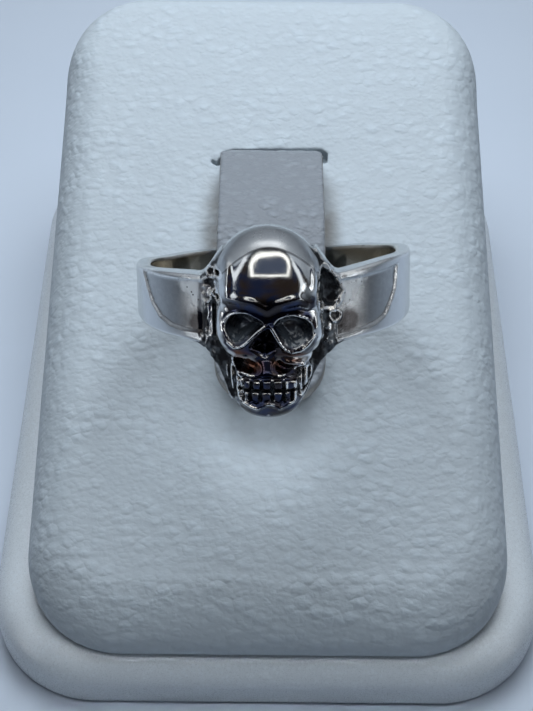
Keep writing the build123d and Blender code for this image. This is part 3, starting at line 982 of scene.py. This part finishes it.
def leatherette(name, tone, cell, relief, roughness, gloss=0.45, crease_shade=0.92, stretch=(1, 1, 1),
                turn=(0, 0, 0), raw=False):
    """Pebbled leatherette: soft domes of two sizes between creases, with mottled colour.

    Cell is a pebble's size and relief its height, in mm; the creases get painted shade, and crease is how
    bright they stay.
    """
    material, n, shader = new_material(name)
    place = n.millimetres()
    warp = n.add("ShaderNodeTexNoise", {"Vector": place, "Scale": 1.0 / cell, "Detail": 3.0}).outputs["Color"]
    grain_place = n.vector("ADD", n.millimetres(stretch, turn), n.vector("MULTIPLY", warp, [0.45 * cell] * 3))
    domes = []
    for scale in (1 / cell, 2.3 / cell):
        domes.append(n.remap(n.cells(grain_place, scale, 0.9), 0.75, 0.05))
    pebble, small = domes
    soft = n.remap(n.noise(place, 0.3 / cell, 2.0), 0.35, 0.65, 0.35, 1.0)
    finer = n.noise(grain_place, 3.0 / cell, 3.0, 0.6)
    height = n.plus(n.times(pebble, soft), n.times(small, 0.25))
    height = n.plus(height, n.times(finer, 0.28))

    mottle = n.remap(n.noise(place, 0.28, 4.0, 0.6), 0.3, 0.7)
    light = n.mix(mottle, tone, [c * k for c, k in zip(tone, (0.96, 0.97, 0.98, 1))])
    # The creases are darkened: painted shade
    dark = [c * crease_shade for c in tone[:3]] + [1]
    shade = n.mix(n.remap(height, 0.2, 1.2), dark, light)
    # Painted shadow beside the tab
    painted_tab_shadow = n.times(n.attribute("painted_tab_shadow"), n.remap(n.noise(place, 0.5, 3.0), 0.3, 0.6, 0.5, 0.9))
    shade = n.mix(painted_tab_shadow, shade, PAINTED_TAB_SHADOW)
    if raw:
        shade = n.mix(n.attribute("raw_edge"), shade, n.mix(n.noise(place, 3.0, 3.0), *RAW_CARD))

    n.put(shader.inputs["Base Color"], shade)
    n.put(shader.inputs["Roughness"], n.remap(finer, 0.3, 0.7, roughness - 0.06, roughness + 0.08))
    shader.inputs["Specular IOR Level"].default_value = gloss
    n.put(shader.inputs["Normal"], n.bump(height, 0.8, relief))
    return material


def base_leatherette():
    """White, fine and smooth."""
    return leatherette("base_leatherette", (0.88, 0.91, 0.93, 1), cell=0.35, relief=0.004, roughness=0.3,
                       gloss=1.0)


def pad_leatherette():
    """Pale grey, with pebbles stretched across."""
    return leatherette("pad_leatherette", (0.62, 0.67, 0.705, 1), cell=1.15, relief=0.12, roughness=0.5,
                       stretch=(0.9, 1.2, 1.2))


def tab_leatherette():
    """Darker grey, with deeper creases at a slant, more painted shade in them, and the raw card at its edge.
    """
    return leatherette("tab_leatherette", (0.335, 0.352, 0.38, 1), cell=0.95, relief=0.2, roughness=0.5,
                       crease_shade=0.8, stretch=(0.85, 1.2, 1.0), turn=(0, 0, radians(-28)), raw=True)


def floor_material():
    material, n, shader = new_material("pale_table")
    shade = n.mix(n.noise(n.millimetres(), 0.05, 3.0), (0.70, 0.75, 0.83, 1), (0.65, 0.71, 0.80, 1))
    n.put(shader.inputs["Base Color"], shade)
    shader.inputs["Roughness"].default_value = 0.55
    return material


# The room's colours, linear; a pair is blended or mottled
ROOM_HEIGHT = ((0.28, 0.31, 0.35, 1), (0.52, 0.57, 0.63, 1))
DARK_FRONT = ((0.012, 0.018, 0.045, 1), (0.026, 0.019, 0.016, 1))
LOW_SIDES = (2.6, 2.75, 2.9, 1)
SIDE_WINDOW = (1.15, 1.2, 1.25, 1)
BACK_WINDOW = (1.7, 1.75, 1.8, 1)
LIGHT_SURROUND = (0.02, 0.022, 0.03, 1)
LIGHT_RIM = (2.3, 2.25, 2.1, 1)
LIGHT_MIDDLE = (0.09, 0.11, 0.16, 1)
BACKDROP = (0.34, 0.38, 0.43, 1)
ROOM_STRENGTH = 0.9

# The lamps: place, aim and size in metres, power in watts, spread in degrees
LAMP_TINT = (0.80, 0.90, 1.0)
LAMPS = (
    ("key", (0.0, 0.045, 0.135), (0.0, -0.005, 0.015), (0.10, 0.10), 0.155, 180),
    ("overhead", (0.0, -0.01, 0.40), (0.0, 0.0, 0.0), (0.30, 0.30), 0.32, 180),
    ("rim", (0.0, -0.036, 0.070), (0.0, -0.0315, 0.0), (0.036, 0.004), 0.00022, 14),
    ("bounce", (-0.0003, -0.0175, 0.0230), (-0.0003, -0.0155, 0.0135), (0.008, 0.004), 0.00022, 112))


def make_floor():
    mesh = bpy.data.meshes.new("floor")
    reach = 1.5
    corners = [(-reach, -reach, 0), (reach, -reach, 0), (reach, reach, 0), (-reach, reach, 0)]
    mesh.from_pydata(corners, [], [(0, 1, 2, 3)])
    floor = bpy.data.objects.new("floor", mesh)
    bpy.context.scene.collection.objects.link(floor)
    mesh.materials.append(floor_material())


def room_walls(n, way, x, z, forward):
    """Grey at the horizon and lighter higher up, dark and mottled in front, bright low at the sides."""
    room = n.mix(n.remap(z, 0.0, 0.8), *ROOM_HEIGHT)
    murk = n.mix(n.remap(n.noise(way, 1.6, 2.0), 0.42, 0.62), *DARK_FRONT)
    low_side = n.times(n.remap(n.size_of(x), 0.70, 0.88), n.remap(z, 0.16, 0.08))
    low_side = n.times(low_side, n.remap(forward, 0.12, 0.0))
    murk = n.mix(low_side, murk, LOW_SIDES)
    return n.mix(n.remap(forward, 0.28, 0.2), room, murk)


def side_windows(n, tint, x, z, forward):
    """A tall window on each side, leaning forward as it goes down."""
    past = n.math("MAXIMUM", n.minus(n.size_of(x), 0.5), 0.0)
    lean = n.math("MULTIPLY_ADD", past, n.math("MULTIPLY_ADD", past, 1.3, -1.35), 0.24)
    beside = n.times(n.remap(n.size_of(x), 0.4, 0.48), n.remap(z, 0.03, 0.15))
    off_window = n.size_of(n.minus(forward, lean))
    return n.mix(n.times(n.remap(off_window, 0.15, 0.11), beside), tint, SIDE_WINDOW)


def back_window(n, tint, x_slope, y_slope):
    behind = n.remap(n.size_of(n.minus(y_slope, 0.9)), 0.28, 0.2)
    return n.mix(n.times(behind, n.remap(n.size_of(x_slope), 0.5, 0.35)), tint, BACK_WINDOW)


def half_round_light(n, tint, x_slope, y_slope, z):
    """A D-shaped rim of light overhead, with a dark middle and dark round it."""
    across = n.over(n.minus(x_slope, 0.1), 0.52)
    along = n.plus(y_slope, 0.30)
    bow = n.math("MAXIMUM", n.over(along, 0.75), 0.0)
    out = n.math("SQRT", n.plus(n.times(across, across), n.times(bow, bow)))
    out = n.math("MAXIMUM", out, n.over(along, -0.44))
    above = n.remap(z, 0.2, 0.3)
    surround = n.times(n.times(n.remap(out, 1.3, 1.2), above), 0.94)
    tint = n.mix(surround, tint, LIGHT_SURROUND)
    rim = n.times(n.times(n.remap(out, 1.04, 0.90), n.remap(out, 0.66, 0.80)), above)
    tint = n.mix(rim, tint, LIGHT_RIM)
    return n.mix(n.times(n.remap(out, 0.74, 0.58), above), tint, LIGHT_MIDDLE)


def make_room():
    """What the silver mirrors, by direction. It lights no matt surface; the camera sees a backdrop."""
    world = bpy.data.worlds.new("room")
    bpy.context.scene.world = world
    world.use_nodes = True
    n = Nodes(world.node_tree)
    way = n.add("ShaderNodeTexCoord").outputs["Generated"]
    x, y, z = n.add("ShaderNodeSeparateXYZ", {"Vector": way}).outputs
    forward = n.minus(n.plus(y, 0.32), n.times(z, 0.35))
    high = n.math("MAXIMUM", z, 0.05)
    x_slope, y_slope = n.over(x, high), n.over(y, high)
    tint = room_walls(n, way, x, z, forward)
    tint = side_windows(n, tint, x, z, forward)
    tint = back_window(n, tint, x_slope, y_slope)
    tint = half_round_light(n, tint, x_slope, y_slope, z)
    seen = n.add("ShaderNodeLightPath").outputs["Is Camera Ray"]
    background = world.node_tree.nodes["Background"]
    n.put(background.inputs["Color"], n.mix(seen, tint, BACKDROP))
    background.inputs["Strength"].default_value = ROOM_STRENGTH
    world.cycles_visibility.diffuse = False


def make_lamp(name, place, aim, size, power, spread):
    """A soft rectangular lamp that isn't mirrored in the silver."""
    data = bpy.data.lights.new(name, "AREA")
    data.shape = "RECTANGLE"
    data.size, data.size_y = size
    data.energy = power
    data.color = LAMP_TINT
    data.spread = radians(spread)
    lamp = bpy.data.objects.new(name, data)
    bpy.context.scene.collection.objects.link(lamp)
    lamp.location = place
    lamp.rotation_euler = (Vector(aim) - Vector(place)).to_track_quat("-Z", "Y").to_euler()
    lamp.visible_glossy = False


def make_camera():
    """The photograph's view: high in front, a slight tilt, close by."""
    elevation, turn, tilt = radians(49.51), radians(-0.14), radians(0.68)
    distance, target = 126.86, Vector((-0.27, -3.21, 12.0))
    focal_pixels, image_width, sensor = 1424.0, 533, 36.0
    back = Vector((sin(turn) * cos(elevation), -cos(turn) * cos(elevation), sin(elevation)))
    level = Vector((cos(turn), sin(turn), 0))
    upright = back.cross(level)
    right = cos(tilt) * level + sin(tilt) * upright
    up = cos(tilt) * upright - sin(tilt) * level
    place = (target + back * distance) * MM
    data = bpy.data.cameras.new("camera")
    data.sensor_fit = "HORIZONTAL"
    data.sensor_width = sensor
    data.lens = sensor * focal_pixels / image_width
    data.clip_start = 0.01
    camera = bpy.data.objects.new("camera", data)
    bpy.context.scene.collection.objects.link(camera)
    columns = zip(right, up, back, place)
    camera.matrix_world = Matrix([list(row) for row in columns] + [[0, 0, 0, 1]])
    bpy.context.scene.camera = camera


make_camera()
ring_piece = make_ring()
base_piece = make_base()
pad_piece = make_pad()
tab_piece = make_tab()

ring_piece.data.materials.append(silver_material())
base_piece.data.materials.append(base_leatherette())
pad_piece.data.materials.append(pad_leatherette())
tab_piece.data.materials.append(tab_leatherette())

make_floor()
make_room()
for lamp in LAMPS:
    make_lamp(*lamp)
bpy.context.scene.view_settings.view_transform = "Standard"
